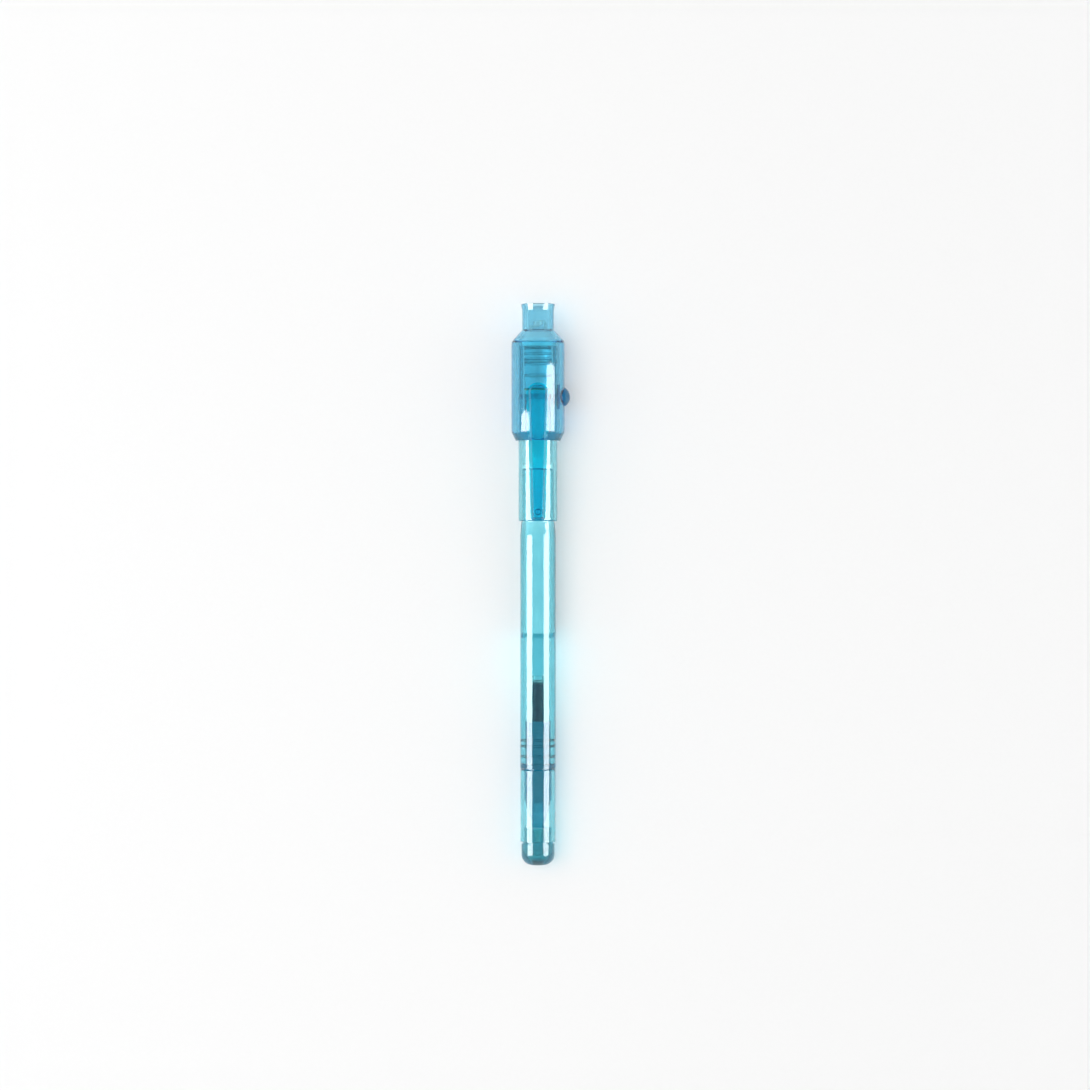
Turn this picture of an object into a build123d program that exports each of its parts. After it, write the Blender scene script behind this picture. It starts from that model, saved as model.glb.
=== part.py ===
from build123d import *
import math
import os

# Two-ended pen: a fibre tip under a cap with an ultraviolet light, and a ballpoint under a small cap.
# The pen lies along Y with its light at +Y. The clip faces +Z and the light's button faces +X.
# The origin is on the pen's axis, at the middle of the barrel's plain round length. Millimetres.

# Clearances
press_gap = 0.02
cap_fit = 0.05
loose_gap = 0.1
rim_gap = 0.2

# Button cells
cell_diameter = 7.9
cell_height = 3.6
cell_count = 3
cell_gap = 0.12
cell_cap_diameter = 6.1
cell_gasket_width = 0.25
cell_gasket_depth = 0.3
cell_step = 0.4
cell_crimp = 0.3

# Barrel and its neck, which goes into the light cap
barrel_wall = 1.2
barrel_plain_length = 58.0
barrel_taper_length = 3.3
barrel_taper_depth = 0.25
neck_step = 0.48
neck_length = 13.5
neck_chamfer = 0.3
stop_thickness = 1.2
stop_width = 0.7

# Fibre tip end
reservoir_length = 36.7
reservoir_gap = 0.1
film_thickness = 0.1
holder_plug_length = 5.0
holder_plug_wall = 0.8
holder_flange_thickness = 1.0
holder_flange_inset = 0.2
nose_diameter = 4.3
nose_length = 7.0
nose_cone_length = 3.0
nose_tip_wall = 0.45
nib_diameter = 2.0
nib_tail = 4.0
nib_reach = 3.0
nib_point_length = 1.8
nib_point_diameter = 0.9

# Light cap: sleeve over the neck and the cells, and the housing round it
sleeve_wall = 0.85
tip_room = 3.8
ledge_thickness = 1.2
sleeve_overlap = 1.0
sleeve_rim_chamfer = 0.25
slot_width = 2.6
slot_below_button = 3.5
cup_wall = 0.7
cup_mouth_gap = 2.0
cup_flange_thickness = 1.0
cup_roof = 1.0
switch_gap = 0.63
housing_wall = 1.2
skirt_length = 20.4
foot_length = 2.2
foot_wall = 0.7
foot_lip_length = 1.4
shoulder_length = 3.0
shoulder_lead = 0.45
shoulder_inner_drop = 0.4
shoulder_round = 1.2
collar_gap = 0.5
collar_wall = 1.0
collar_flare = 0.3
collar_flare_length = 1.6
led_recess = 0.35
rib_width = 0.8
rib_end_gap = 1.0
rib_angles = (45, 135, 225, 315)

# Pocket clip, moulded with the housing
clip_gap = 0.83
clip_thickness = 1.5
clip_root_width = 5.5
clip_tip_width = 3.7
clip_root_length = 12.2
clip_bevel_angle = 29.5
clip_root_round = 2.2
clip_tip_round = 1.2
clip_bump_radius = 1.0
clip_bump_height = 0.45
clip_bump_from_tip = 2.3

# Light emitting diode and its holder
led_diameter = 5.0
led_height = 8.7
led_flange_width = 0.4
led_flange_thickness = 1.0
led_holder_floor = 1.7
led_seat_depth = 1.5
led_seat_wall = 0.25
lead_size = 0.5
lead_pitch = 2.54
lead_slot_gap = 0.1
cathode_foot_proud = 0.1
reflector_height = 4.7
reflector_depth = 1.0
reflector_diameter = 1.7
reflector_base_diameter = 0.9
anode_post_height = 4.3
chip_size = 0.4
chip_thickness = 0.15

# Push button and its contacts
button_diameter = 4.6
button_below_ledge = 0.6
button_proud = 1.4
button_dome = 1.2
button_travel = 0.6
button_ear_length = 6.2
button_ear_width = 2.2
button_ear_thickness = 0.33
button_ear_gap = 0.06
button_nub_diameter = 2.0
button_nub_length = 0.2
leaf_thickness = 0.2
leaf_width = 2.0
leaf_below_button = 2.5
contact_thickness = 0.25
contact_inset = 0.35
contact_width = 1.6
contact_below_button = 2.3

# Ballpoint end
section_collar_length = 1.2
spigot_length = 10.8
section_neck_length = 8.0
section_neck_step = 0.2
cone_length = 7.0
cone_tip_diameter = 3.2
snap_ring_heights = (1.9, 4.5, 6.0)
snap_ring_radius = 0.35
snap_ring_proud = 0.12
refill_diameter = 3.0
refill_wall = 0.5
refill_length = 34.6
refill_guide_gap = 0.05
refill_empty_length = 1.1
follower_length = 1.0
point_diameter = 2.3
point_flange_thickness = 0.8
point_seat_length = 3.1
point_shank_length = 2.6
point_cone_length = 3.5
point_rim_diameter = 1.0
ink_channel_diameter = 0.7
ball_diameter = 0.8
ball_gap = 0.02
ball_overlap = 0.15

# Cap over the ballpoint, closed by a plug
bottom_cap_flush = 0.05
bottom_cap_wall = 0.9
bottom_cap_length = 18.3
bottom_cap_chamfer = 0.2
plug_length = 6.0
plug_inset = 0.25
plug_groove_width = 0.6
plug_groove_depth = 0.35
plug_round = 2.7
plug_spigot_length = 3.5
plug_wall = 0.95
plug_end_wall = 1.5

# Radii that follow from the cells outwards
cell_radius = cell_diameter / 2
sleeve_bore = cell_radius + cell_gap
sleeve_radius = sleeve_bore + sleeve_wall
housing_bore = sleeve_radius + switch_gap
housing_radius = housing_bore + housing_wall
neck_radius = sleeve_bore - cap_fit
barrel_radius = neck_radius + neck_step
barrel_bore = barrel_radius - barrel_wall
nose_radius = nose_diameter / 2
nib_radius = nib_diameter / 2
cup_bore = nose_radius + cap_fit
cup_radius = cup_bore + cup_wall
led_radius = led_diameter / 2
collar_bore = led_radius + collar_gap
collar_radius = collar_bore + collar_wall
led_flange_radius = led_radius + led_flange_width
led_holder_radius = sleeve_bore - press_gap
bottom_cap_radius = barrel_radius - bottom_cap_flush
bottom_cap_bore = bottom_cap_radius - bottom_cap_wall
section_neck_radius = bottom_cap_bore - cap_fit
refill_radius = refill_diameter / 2
refill_bore = refill_radius - refill_wall
section_bore = refill_radius + refill_guide_gap
point_radius = point_diameter / 2
ball_radius = ball_diameter / 2
film_radius = barrel_bore - reservoir_gap
reservoir_radius = film_radius - film_thickness

# Stations along Y, from the barrel towards the light
barrel_low = -barrel_plain_length / 2
barrel_high = barrel_plain_length / 2
neck_low = barrel_high + barrel_taper_length
neck_high = neck_low + neck_length
reservoir_high = neck_high - holder_plug_length
reservoir_low = reservoir_high - reservoir_length
nose_low = neck_high + holder_flange_thickness
nose_high = nose_low + nose_length + nose_cone_length
nib_tip = nose_high + nib_reach
sleeve_rim = neck_low + rim_gap
cup_mouth = nose_low + cup_mouth_gap
ledge_high = nib_tip + tip_room + cup_roof
contact_low = ledge_high + cup_flange_thickness
cells_low = contact_low + contact_thickness
cells_high = cells_low + cell_count * cell_height
led_holder_low = cells_high + cathode_foot_proud
led_low = led_holder_low + led_holder_floor
led_high = led_low + led_height
sleeve_high = led_holder_low + sleeve_overlap
housing_low = sleeve_rim + skirt_length
bulge_low = housing_low + foot_length
bulge_high = led_low - shoulder_lead
collar_low = bulge_high + shoulder_length
collar_high = led_high + led_recess
button_y = ledge_high - button_below_ledge

# Stations along Y, from the barrel towards the ballpoint
collar_face = barrel_low - section_collar_length
cone_high = collar_face - section_neck_length
cone_low = cone_high - cone_length
point_flange_low = cone_low + point_seat_length
refill_low = point_flange_low + point_flange_thickness
refill_high = refill_low + refill_length
ink_low = refill_low + point_shank_length
ink_high = refill_high - refill_empty_length - follower_length
point_rim = cone_low - point_cone_length
ball_y = point_rim + ball_overlap
bottom_cap_rim = collar_face - rim_gap
plug_high = bottom_cap_rim - bottom_cap_length
plug_low = plug_high - plug_length

# Places along X of the button's inner parts and of the contacts behind it
button_ear_out = math.sqrt(housing_bore**2 - (button_ear_width / 2) ** 2) - button_ear_gap
button_ear_in = button_ear_out - button_ear_thickness
button_nub_in = button_ear_in - button_nub_length
leaf_out = button_nub_in - loose_gap
leaf_in = leaf_out - leaf_thickness
leaf_low = button_y - leaf_below_button
leaf_pivot_y = led_low - lead_size - lead_slot_gap
leaf_high = leaf_pivot_y + lead_size
leaf_swing = button_travel / (leaf_pivot_y - button_y)
contact_tab_low = button_y - contact_below_button
contact_tab_out = leaf_in - leaf_swing * (leaf_pivot_y - leaf_low) - loose_gap
contact_tab_in = contact_tab_out - contact_thickness


def turned(*lines):
    """A solid of revolution about the pen's axis, from lines in (radius, station)."""
    return revolve(make_face(Curve() + list(lines)), Axis.Y)


def tube(outer, inner, low, high):
    return turned(Polyline((inner, low), (outer, low), (outer, high), (inner, high), close=True))


def rod(radius, low, high):
    return turned(Polyline((0, low), (radius, low), (radius, high), (0, high), close=True))


def block(x_range, y_range, z_range):
    """A box from its low and high place along each axis."""
    spans = [high - low for low, high in (x_range, y_range, z_range)]
    middle = [(low + high) / 2 for low, high in (x_range, y_range, z_range)]
    return Pos(*middle) * Box(*spans)


def both_ways(width):
    return (-width / 2, width / 2)


def slot_cut(inner, low, high):
    """The channel on the button's side that the leaf and the contact move in."""
    return block((inner, housing_radius), (low, high), both_ways(slot_width))


def snap_rings(extra):
    """Rings on the ballpoint section's spigot, or with extra room their grooves in the barrel."""
    rings = []
    for height in snap_ring_heights:
        centre = barrel_bore - press_gap + snap_ring_proud - snap_ring_radius
        section = Circle(snap_ring_radius + extra)
        rings.append(revolve(Pos(centre, barrel_low + height) * section, Axis.Y))
    return rings


def make_barrel():
    body = turned(
        Polyline(
            (barrel_bore, barrel_low),
            (barrel_radius, barrel_low),
            (barrel_radius, barrel_high),
            (barrel_radius - barrel_taper_depth, neck_low),
            (neck_radius, neck_low),
            (neck_radius, neck_high - neck_chamfer),
            (neck_radius - neck_chamfer, neck_high),
            (barrel_bore, neck_high),
            (barrel_bore, reservoir_low),
            (barrel_bore - stop_width, reservoir_low),
            (barrel_bore - stop_width, reservoir_low - stop_thickness),
            (barrel_bore, reservoir_low - stop_thickness),
            close=True,
        )
    )
    return body - snap_rings(press_gap * 2)


def make_nib_holder():
    plug_radius = barrel_bore - press_gap
    flange_radius = neck_radius - holder_flange_inset
    grip = nib_radius + press_gap
    return turned(
        Polyline(
            (plug_radius - holder_plug_wall, reservoir_high),
            (plug_radius, reservoir_high),
            (plug_radius, neck_high),
            (flange_radius, neck_high),
            (flange_radius, nose_low),
            (nose_radius, nose_low),
            (nose_radius, nose_low + nose_length),
            (grip + nose_tip_wall, nose_high),
            (grip, nose_high),
            (grip, neck_high),
            (plug_radius - holder_plug_wall, neck_high - holder_flange_thickness),
            close=True,
        )
    )


def make_fibre_nib():
    tip_low = nib_tip - nib_point_length
    tip_radius = nib_point_diameter / 2
    return turned(
        Polyline(
            (0, nib_tip),
            (0, reservoir_high - nib_tail),
            (nib_radius, reservoir_high - nib_tail),
            (nib_radius, tip_low),
            (tip_radius, nib_tip - tip_radius),
        ),
        RadiusArc((tip_radius, nib_tip - tip_radius), (0, nib_tip), -tip_radius),
    )


def make_ink_reservoir():
    hole = rod(nib_radius + press_gap, reservoir_high - nib_tail, reservoir_high)
    return rod(reservoir_radius, reservoir_low, reservoir_high) - hole


def make_cap_sleeve():
    """The tube that slides over the neck below its ledge and holds the cells above it."""
    body = turned(
        Polyline(
            (sleeve_bore, sleeve_rim),
            (sleeve_radius - sleeve_rim_chamfer, sleeve_rim),
            (sleeve_radius, sleeve_rim + sleeve_rim_chamfer),
            (sleeve_radius, sleeve_high),
            (sleeve_bore, sleeve_high),
            (sleeve_bore, ledge_high),
            (cup_radius + press_gap, ledge_high),
            (cup_radius + press_gap, ledge_high - ledge_thickness),
            (sleeve_bore, ledge_high - ledge_thickness),
            close=True,
        )
    )
    return body - slot_cut(contact_tab_in - loose_gap, button_y - slot_below_button, collar_low)


def make_nib_seal_cup():
    """The soft cup that closes on the fibre tip's nose, hung on the sleeve's ledge by its flange."""
    body = turned(
        Polyline(
            (cup_bore, cup_mouth),
            (cup_radius, cup_mouth),
            (cup_radius, ledge_high),
            (sleeve_bore - press_gap, ledge_high),
            (sleeve_bore - press_gap, contact_low),
            (0, contact_low),
            (0, ledge_high - cup_roof),
            (cup_bore, ledge_high - cup_roof),
            close=True,
        )
    )
    return body - slot_cut(contact_tab_in - loose_gap, ledge_high, contact_low)


def make_button_cell(low):
    """One cell, its can below and its smaller cap with the gasket's groove above."""
    high = low + cell_height
    crown = high - cell_step
    cap_radius = cell_cap_diameter / 2
    gasket_radius = cap_radius + cell_gasket_width
    return turned(
        Polyline(
            (0, low),
            (cell_radius - cell_crimp, low),
            (cell_radius, low + cell_crimp),
            (cell_radius, crown - cell_crimp),
            (cell_radius - cell_crimp, crown),
            (gasket_radius, crown),
            (gasket_radius, crown - cell_gasket_depth),
            (cap_radius, crown - cell_gasket_depth),
            (cap_radius, high),
            (0, high),
            close=True,
        )
    )


def make_battery_contact():
    """A disc under the cells with a tongue that is bent down behind the switch leaf."""
    disc = rod(cell_radius - contact_inset, contact_low, cells_low)
    tongue = block((0, contact_tab_out), (contact_low, cells_low), both_ways(contact_width))
    tab = block(
        (contact_tab_in, contact_tab_out), (contact_tab_low, cells_low), both_ways(contact_width)
    )
    return disc + tongue + tab


def make_switch_leaf():
    return block((leaf_in, leaf_out), (leaf_low, leaf_high), both_ways(leaf_width))


def make_led_holder():
    """The pale seat of the diode, with a slot for one lead and a hole and groove for the other."""
    seat_radius = led_flange_radius + cap_fit
    seat_high = led_low + led_seat_depth
    body = turned(
        Polyline(
            (0, led_holder_low),
            (led_holder_radius, led_holder_low),
            (led_holder_radius, led_low),
            (seat_radius + led_seat_wall, seat_high),
            (seat_radius, seat_high),
            (seat_radius, led_low),
            (0, led_low),
            close=True,
        )
    )
    room = lead_size + 2 * lead_slot_gap
    slot_low = leaf_pivot_y - lead_size / 2 - lead_slot_gap
    anode_slot = block(
        (lead_pitch / 2 - room / 2, sleeve_radius), (slot_low, collar_low), both_ways(room)
    )
    groove_high = led_holder_low + lead_size
    cathode_hole = block(
        (-lead_pitch / 2 - room / 2, -lead_pitch / 2 + room / 2), (led_holder_low, led_low), both_ways(room)
    )
    cathode_groove = block(
        (-lead_pitch / 2 - room / 2, lead_pitch / 2), (led_holder_low, groove_high), both_ways(room)
    )
    return body - anode_slot - cathode_hole - cathode_groove


def make_cathode_lead():
    """The lead with the reflector cup, bent under the holder onto the top cell."""
    middle = -lead_pitch / 2
    across = both_ways(lead_size)
    cup_high = led_low + reflector_height
    cup_low = cup_high - reflector_depth
    upright = block((middle - lead_size / 2, middle + lead_size / 2), (cells_high, cup_low), across)
    foot = block(
        (middle - lead_size / 2, lead_pitch / 2 - lead_slot_gap),
        (cells_high, cells_high + lead_size),
        across,
    )
    arm = block((middle - lead_size / 2, lead_size / 2), (cup_low - lead_size, cup_low), across)
    cup = rod(reflector_diameter / 2, cup_low, cup_high)
    wall = (reflector_diameter - reflector_base_diameter) / 4
    hollow = turned(
        Polyline(
            (0, cup_low + wall),
            (reflector_base_diameter / 2, cup_low + wall),
            (reflector_diameter / 2 - wall / 2, cup_high),
            (0, cup_high),
            close=True,
        )
    )
    return upright + foot + arm + (cup - hollow)


def make_led_chip():
    wall = (reflector_diameter - reflector_base_diameter) / 4
    chip_low = led_low + reflector_height - reflector_depth + wall
    side = both_ways(chip_size)
    return block(side, (chip_low, chip_low + chip_thickness), side)


def make_anode_lead():
    """The lead with the bond post, bent out through the holder's slot to the switch leaf."""
    middle = lead_pitch / 2
    across = both_ways(lead_size)
    bend_low = leaf_pivot_y - lead_size / 2
    post = block(
        (middle - lead_size / 2, middle + lead_size / 2), (bend_low, led_low + anode_post_height), across
    )
    arm = block((middle, leaf_in - cap_fit), (bend_low, bend_low + lead_size), across)
    return post + arm


def make_uv_led():
    """The clear body of the diode, cast round the upper ends of its leads and the chip."""
    dome_low = led_high - led_radius
    body = turned(
        Polyline(
            (0, led_high),
            (0, led_low),
            (led_flange_radius, led_low),
            (led_flange_radius, led_low + led_flange_thickness),
            (led_radius, led_low + led_flange_thickness),
            (led_radius, dome_low),
        ),
        RadiusArc((led_radius, dome_low), (0, led_high), -led_radius),
    )
    return body - make_cathode_lead() - make_anode_lead() - make_led_chip()


def make_clip():
    """The pocket clip: a tapered tongue with bevelled edges and a bump under its free end."""
    root_y = bulge_low + clip_root_length
    plan = make_face(
        Polyline(
            (-clip_tip_width / 2, sleeve_rim),
            (clip_tip_width / 2, sleeve_rim),
            (clip_root_width / 2, root_y),
            (-clip_root_width / 2, root_y),
            close=True,
        )
    )
    plan = fillet(plan.vertices().group_by(Axis.Y)[0], clip_tip_round)
    plan = fillet(plan.vertices().group_by(Axis.Y)[-1], clip_root_round)
    clip_in = sleeve_radius + clip_gap
    tongue = extrude(Pos(0, 0, clip_in) * plan, clip_thickness, taper=clip_bevel_angle)
    bump_z = clip_in - clip_bump_height + clip_bump_radius
    return tongue + Pos(0, sleeve_rim + clip_bump_from_tip, bump_z) * Sphere(clip_bump_radius)


def make_light_housing():
    """The bulged shell with the light's collar, ribs that centre the sleeve, and the clip."""
    foot_bore = sleeve_radius + press_gap
    bore_low = housing_low + foot_lip_length
    body = turned(
        Polyline(
            (foot_bore, housing_low),
            (foot_bore + foot_wall, housing_low),
            (housing_radius, bulge_low),
            (housing_radius, bulge_high),
            (collar_radius, collar_low),
            (collar_radius, collar_high - collar_flare_length),
            (collar_radius + collar_flare, collar_high),
            (collar_bore + collar_flare, collar_high),
            (collar_bore, collar_high - collar_flare_length),
            (collar_bore, collar_low - shoulder_inner_drop),
            (housing_bore, bulge_high - shoulder_inner_drop),
            (housing_bore, bore_low),
            (foot_bore, bore_low),
            close=True,
        )
    )
    rims = body.edges().filter_by(GeomType.CIRCLE)
    outer = [rim for rim in rims if abs(rim.radius - housing_radius) < press_gap]
    body = fillet(outer, shoulder_round)
    ribs = [
        Rot(0, angle, 0)
        * block(
            (foot_bore, housing_bore + housing_wall / 2),
            (bore_low, sleeve_high - rib_end_gap),
            both_ways(rib_width),
        )
        for angle in rib_angles
    ]
    button_hole = Pos(0, button_y) * Rot(0, 90) * Cylinder(
        button_diameter / 2 + loose_gap, 2 * housing_radius, align=(Align.CENTER, Align.CENTER, Align.MIN)
    )
    return body + ribs + make_clip() - button_hole


def make_push_button():
    """A domed button with two ears that keep it in and a nub that pushes the leaf."""
    radius = button_diameter / 2
    stem_in = button_ear_out + button_ear_gap
    crown = housing_radius + button_proud
    dome_radius = (radius**2 + button_dome**2) / (2 * button_dome)
    outline = make_face(
        Curve()
        + [
            Polyline((crown, 0), (stem_in, 0), (stem_in, radius), (crown - button_dome, radius)),
            RadiusArc((crown - button_dome, radius), (crown, 0), dome_radius),
        ]
    )
    head = revolve(outline, Axis.X)
    core = block(
        (button_ear_in, stem_in + button_ear_gap), both_ways(button_diameter), both_ways(button_ear_width)
    )
    core = core & Rot(0, 90) * Cylinder(radius, 4 * crown)
    ears = block((button_ear_in, button_ear_out), both_ways(button_ear_length), both_ways(button_ear_width))
    nub = Pos(button_nub_in) * Rot(0, 90) * Cylinder(
        button_nub_diameter / 2,
        button_nub_length + button_ear_thickness,
        align=(Align.CENTER, Align.CENTER, Align.MIN),
    )
    return Pos(0, button_y) * (head + core + ears + nub)


def make_point_section():
    """The ballpoint's front: a spigot with snap rings, a collar, a neck for the cap and a cone."""
    spigot_radius = barrel_bore - press_gap
    body = turned(
        Polyline(
            (section_bore, barrel_low + spigot_length),
            (spigot_radius, barrel_low + spigot_length),
            (spigot_radius, barrel_low),
            (barrel_radius, barrel_low),
            (barrel_radius, collar_face),
            (section_neck_radius, collar_face),
            (section_neck_radius, cone_high),
            (section_neck_radius - section_neck_step, cone_high),
            (cone_tip_diameter / 2, cone_low),
            (point_radius + press_gap, cone_low),
            (point_radius + press_gap, point_flange_low),
            (section_bore, point_flange_low),
            close=True,
        )
    )
    return body + snap_rings(0)


def make_refill_point():
    """The metal point: a shank in the refill, a flange on the cone's seat and the ball's socket."""
    shank = refill_bore - press_gap
    channel = ink_channel_diameter / 2
    body = turned(
        Polyline(
            (channel, ink_low),
            (shank, ink_low),
            (shank, refill_low),
            (refill_radius, refill_low),
            (refill_radius, point_flange_low),
            (point_radius, point_flange_low),
            (point_radius, cone_low),
            (point_rim_diameter / 2, point_rim),
            (channel, point_rim),
            close=True,
        )
    )
    return body - Pos(0, ball_y) * Sphere(ball_radius + ball_gap)


def make_bottom_cap():
    return turned(
        Polyline(
            (bottom_cap_bore, plug_high),
            (bottom_cap_radius, plug_high),
            (bottom_cap_radius, bottom_cap_rim - bottom_cap_chamfer),
            (bottom_cap_radius - bottom_cap_chamfer, bottom_cap_rim),
            (bottom_cap_bore, bottom_cap_rim),
            close=True,
        )
    )


def make_bottom_plug():
    """The rounded end of the small cap, hollow, with a groove where it meets the tube."""
    head = bottom_cap_radius - plug_inset
    groove = head - plug_groove_depth
    spigot = bottom_cap_bore - press_gap
    hollow = spigot - plug_wall
    hollow_low = plug_low + plug_end_wall
    return turned(
        Polyline(
            (0, plug_low),
            (head - plug_round, plug_low),
        ),
        RadiusArc((head - plug_round, plug_low), (head, plug_low + plug_round), -plug_round),
        Polyline(
            (head, plug_low + plug_round),
            (head, plug_high - plug_groove_width),
            (groove, plug_high - plug_groove_width),
            (groove, plug_high),
            (spigot, plug_high),
            (spigot, plug_high + plug_spigot_length),
            (hollow, plug_high + plug_spigot_length),
            (hollow, hollow_low + hollow),
        ),
        RadiusArc((hollow, hollow_low + hollow), (0, hollow_low), hollow),
        Line((0, hollow_low), (0, plug_low)),
    )


pieces = {
    "barrel": make_barrel(),
    "nib_holder": make_nib_holder(),
    "fibre_nib": make_fibre_nib(),
    "ink_reservoir": make_ink_reservoir(),
    "reservoir_film": tube(film_radius, reservoir_radius, reservoir_low, reservoir_high),
    "cap_sleeve": make_cap_sleeve(),
    "light_housing": make_light_housing(),
    "nib_seal_cup": make_nib_seal_cup(),
    "battery_contact": make_battery_contact(),
    "led_holder": make_led_holder(),
    "uv_led": make_uv_led(),
    "led_chip": make_led_chip(),
    "led_cathode_lead": make_cathode_lead(),
    "led_anode_lead": make_anode_lead(),
    "push_button": make_push_button(),
    "switch_leaf": make_switch_leaf(),
    "point_section": make_point_section(),
    "refill_tube": tube(refill_radius, refill_bore, refill_low, refill_high),
    "refill_ink": rod(refill_bore - press_gap, ink_low, ink_high),
    "ink_follower": rod(refill_bore - press_gap, ink_high, ink_high + follower_length),
    "refill_point": make_refill_point(),
    "writing_ball": Pos(0, ball_y) * Sphere(ball_radius),
    "bottom_cap": make_bottom_cap(),
    "bottom_cap_plug": make_bottom_plug(),
}
for number in range(cell_count):
    pieces[f"button_cell_{number + 1}"] = make_button_cell(cells_low + number * cell_height)

os.makedirs("parts", exist_ok=True)
for name, piece in pieces.items():
    export_step(piece, f"parts/{name}.step")
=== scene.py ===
import math

import bmesh
import bpy
from mathutils import Matrix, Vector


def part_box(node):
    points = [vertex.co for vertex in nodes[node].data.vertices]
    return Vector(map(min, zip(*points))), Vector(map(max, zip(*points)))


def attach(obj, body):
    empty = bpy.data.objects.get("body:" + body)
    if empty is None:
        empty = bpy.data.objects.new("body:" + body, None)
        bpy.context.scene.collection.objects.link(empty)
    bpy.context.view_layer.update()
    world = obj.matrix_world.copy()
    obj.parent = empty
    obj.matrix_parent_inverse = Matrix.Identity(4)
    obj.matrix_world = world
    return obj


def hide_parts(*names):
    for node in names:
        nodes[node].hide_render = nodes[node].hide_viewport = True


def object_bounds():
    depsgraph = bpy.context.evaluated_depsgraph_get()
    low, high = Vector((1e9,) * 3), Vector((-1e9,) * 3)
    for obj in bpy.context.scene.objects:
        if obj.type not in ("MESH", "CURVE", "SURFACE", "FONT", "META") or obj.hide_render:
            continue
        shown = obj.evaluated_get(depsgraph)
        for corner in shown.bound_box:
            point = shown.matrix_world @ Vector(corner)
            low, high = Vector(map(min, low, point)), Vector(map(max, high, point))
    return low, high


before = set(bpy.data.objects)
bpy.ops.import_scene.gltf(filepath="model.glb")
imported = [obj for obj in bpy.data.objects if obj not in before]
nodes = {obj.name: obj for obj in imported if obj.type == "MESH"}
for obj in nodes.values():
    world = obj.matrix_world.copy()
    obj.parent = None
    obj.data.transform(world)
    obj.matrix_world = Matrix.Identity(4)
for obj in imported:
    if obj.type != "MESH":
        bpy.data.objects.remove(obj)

cad_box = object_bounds()

# ---- Ink reservoir ---------------------------------------------------------------------------
# A rod of polyester fibres laid side by side, bonded with heat and cut to length. It soaks up the
# invisible ink and slides into the barrel from the neck's end, onto the tail of the fibre tip.


def linear(shade):
    """An sRGB hex colour as the linear colour that a shader takes."""
    parts = [int(shade[i:i + 2], 16) / 255 for i in (1, 3, 5)]
    return tuple(p / 12.92 if p <= 0.04045 else ((p + 0.055) / 1.055) ** 2.4 for p in parts) + (1.0,)


def add(tree, kind, settings=None, links=None):
    """One node with its settings, its inputs linked to another node's output or set to a value."""
    node = tree.nodes.new(kind)
    for name, value in (settings or {}).items():
        setattr(node, name, value)
    for place, source in (links or {}).items():
        if isinstance(source, bpy.types.NodeSocket):
            tree.links.new(source, node.inputs[place])
        else:
            node.inputs[place].default_value = source
    return node


def empty_material(name):
    """A material with an empty tree, and the tree."""
    material = bpy.data.materials.new(name)
    material.use_nodes = True
    material.node_tree.nodes.clear()
    return material, material.node_tree


def dress(piece, material):
    """Puts a material in a piece's slots."""
    if not piece.material_slots:
        piece.data.materials.append(material)
    for place in piece.material_slots:
        place.material = material


def grown(name, tree, sizes):
    """The plain mesh object that a tree makes with these sizes."""
    piece = bpy.data.objects.new(name, bpy.data.meshes.new(name))
    bpy.context.scene.collection.objects.link(piece)
    maker = piece.modifiers.new(tree.name, "NODES")
    maker.node_group = tree
    for socket in tree.interface.items_tree:
        if socket.item_type == "SOCKET" and socket.in_out == "INPUT":
            maker[socket.identifier] = sizes[socket.name]
    made = piece.evaluated_get(bpy.context.evaluated_depsgraph_get())
    mesh = bpy.data.meshes.new_from_object(made)
    piece.modifiers.remove(maker)
    piece.data = mesh
    mesh.name = name
    return piece


# Bonded polyester fibre: white, dull and a little uneven where more or less binder has taken.
bonded_fibre, tree = empty_material("Bonded polyester fibre")
place = add(tree, "ShaderNodeTexCoord")
# Real fibres are 0.02 mm thick; the streaks are drawn 0.12 mm wide and 8 mm long so that they show.
along = add(tree, "ShaderNodeMapping", None, {
    "Vector": place.outputs["Object"], "Scale": (1 / 0.00012, 1 / 0.008, 1 / 0.00012)})
streaks = add(tree, "ShaderNodeTexNoise", None, {
    "Vector": along.outputs[0], "Scale": 1.0, "Detail": 3.0})
binder = add(tree, "ShaderNodeTexNoise", None, {
    "Vector": place.outputs["Object"], "Scale": 1 / 0.005, "Detail": 2.0})
uneven = add(tree, "ShaderNodeMath", {"operation": "MULTIPLY"}, {
    0: streaks.outputs["Fac"], 1: binder.outputs["Fac"]})
spread = add(tree, "ShaderNodeMapRange", None, {
    "Value": uneven.outputs[0], "From Min": 0.1, "From Max": 0.42})
tone = add(tree, "ShaderNodeMix", {"data_type": "RGBA"}, {
    0: spread.outputs[0], 6: linear("#e2ebf0"), 7: linear("#f8fbfd")})
ridges = add(tree, "ShaderNodeBump", None, {
    "Height": streaks.outputs["Fac"], "Strength": 0.7, "Distance": 0.00004})
surface = add(tree, "ShaderNodeBsdfPrincipled", None, {
    "Base Color": tone.outputs[2], "Roughness": 0.85, "IOR": 1.57, "Sheen Weight": 0.15,
    "Normal": ridges.outputs[0]})
add(tree, "ShaderNodeOutputMaterial", None, {"Surface": surface.outputs[0]})

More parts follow.
